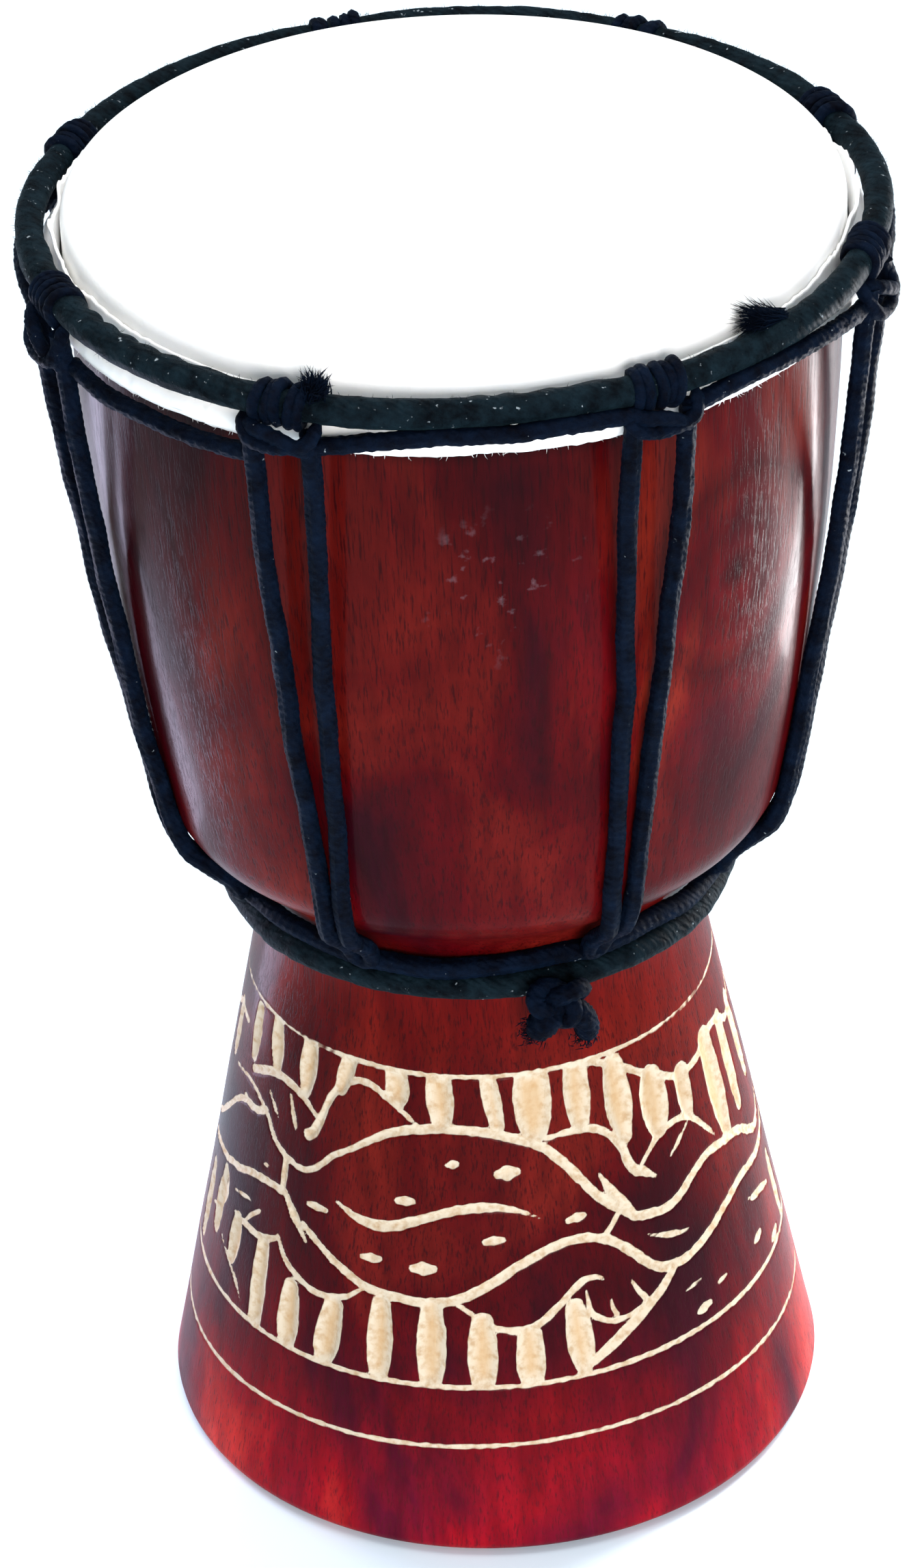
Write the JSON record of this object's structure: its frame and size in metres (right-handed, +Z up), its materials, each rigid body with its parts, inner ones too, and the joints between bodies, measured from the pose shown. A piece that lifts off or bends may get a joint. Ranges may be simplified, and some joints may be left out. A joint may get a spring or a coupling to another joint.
{
  "type": "djembe",
  "caption": "Small goblet-shaped hand drum: carved, lacquered wooden shell, goatskin head and black cord lacing between two cloth-bound rings.",
  "frame": {"origin": "centre of the foot's rim, on the surface the drum stands on", "axes": "+Z up along the drum's axis to the head; -Y towards the player, the side with the waist knot"},
  "size_m": [0.1186, 0.1188, 0.2027],
  "materials": {
    "stained_wood": "red mahogany stain under gloss lacquer, carved grooves left bare",
    "goatskin": "bleached, shaved goatskin, matte",
    "binding_cloth": "black felted cloth",
    "black_cord": "black waxed cord",
    "ring_steel": "plain drawn wire"
  },
  "bodies": {
    "root": {"wooden_shell": "stained_wood", "goatskin_head": "goatskin", "flesh_hoop": "ring_steel", "crown_ring_wire": "ring_steel", "waist_ring_wire": "ring_steel", "crown_ring_cloth": "binding_cloth", "waist_ring_cloth": "binding_cloth", "waist_cord": "black_cord", "crown_hitch_1": "black_cord", "lacing_1": "black_cord", "ring_span_1": "black_cord", "crown_hitch_2": "black_cord", "lacing_2": "black_cord", "ring_span_2": "black_cord", "crown_hitch_3": "black_cord", "lacing_3": "black_cord", "ring_span_3": "black_cord", "crown_hitch_4": "black_cord", "lacing_4": "black_cord", "ring_span_4": "black_cord", "crown_hitch_5": "black_cord", "lacing_5": "black_cord", "ring_span_5": "black_cord", "crown_hitch_6": "black_cord", "lacing_6": "black_cord", "ring_span_6": "black_cord", "crown_hitch_7": "black_cord", "lacing_7": "black_cord", "ring_span_7": "black_cord", "crown_hitch_8": "black_cord", "lacing_8": "black_cord", "ring_span_8": "black_cord", "waist_knot": "black_cord", "waist_end_left": "black_cord", "waist_end_right": "black_cord", "crown_end_front": "black_cord", "crown_end_right": "black_cord"}
  },
  "joints": []
}
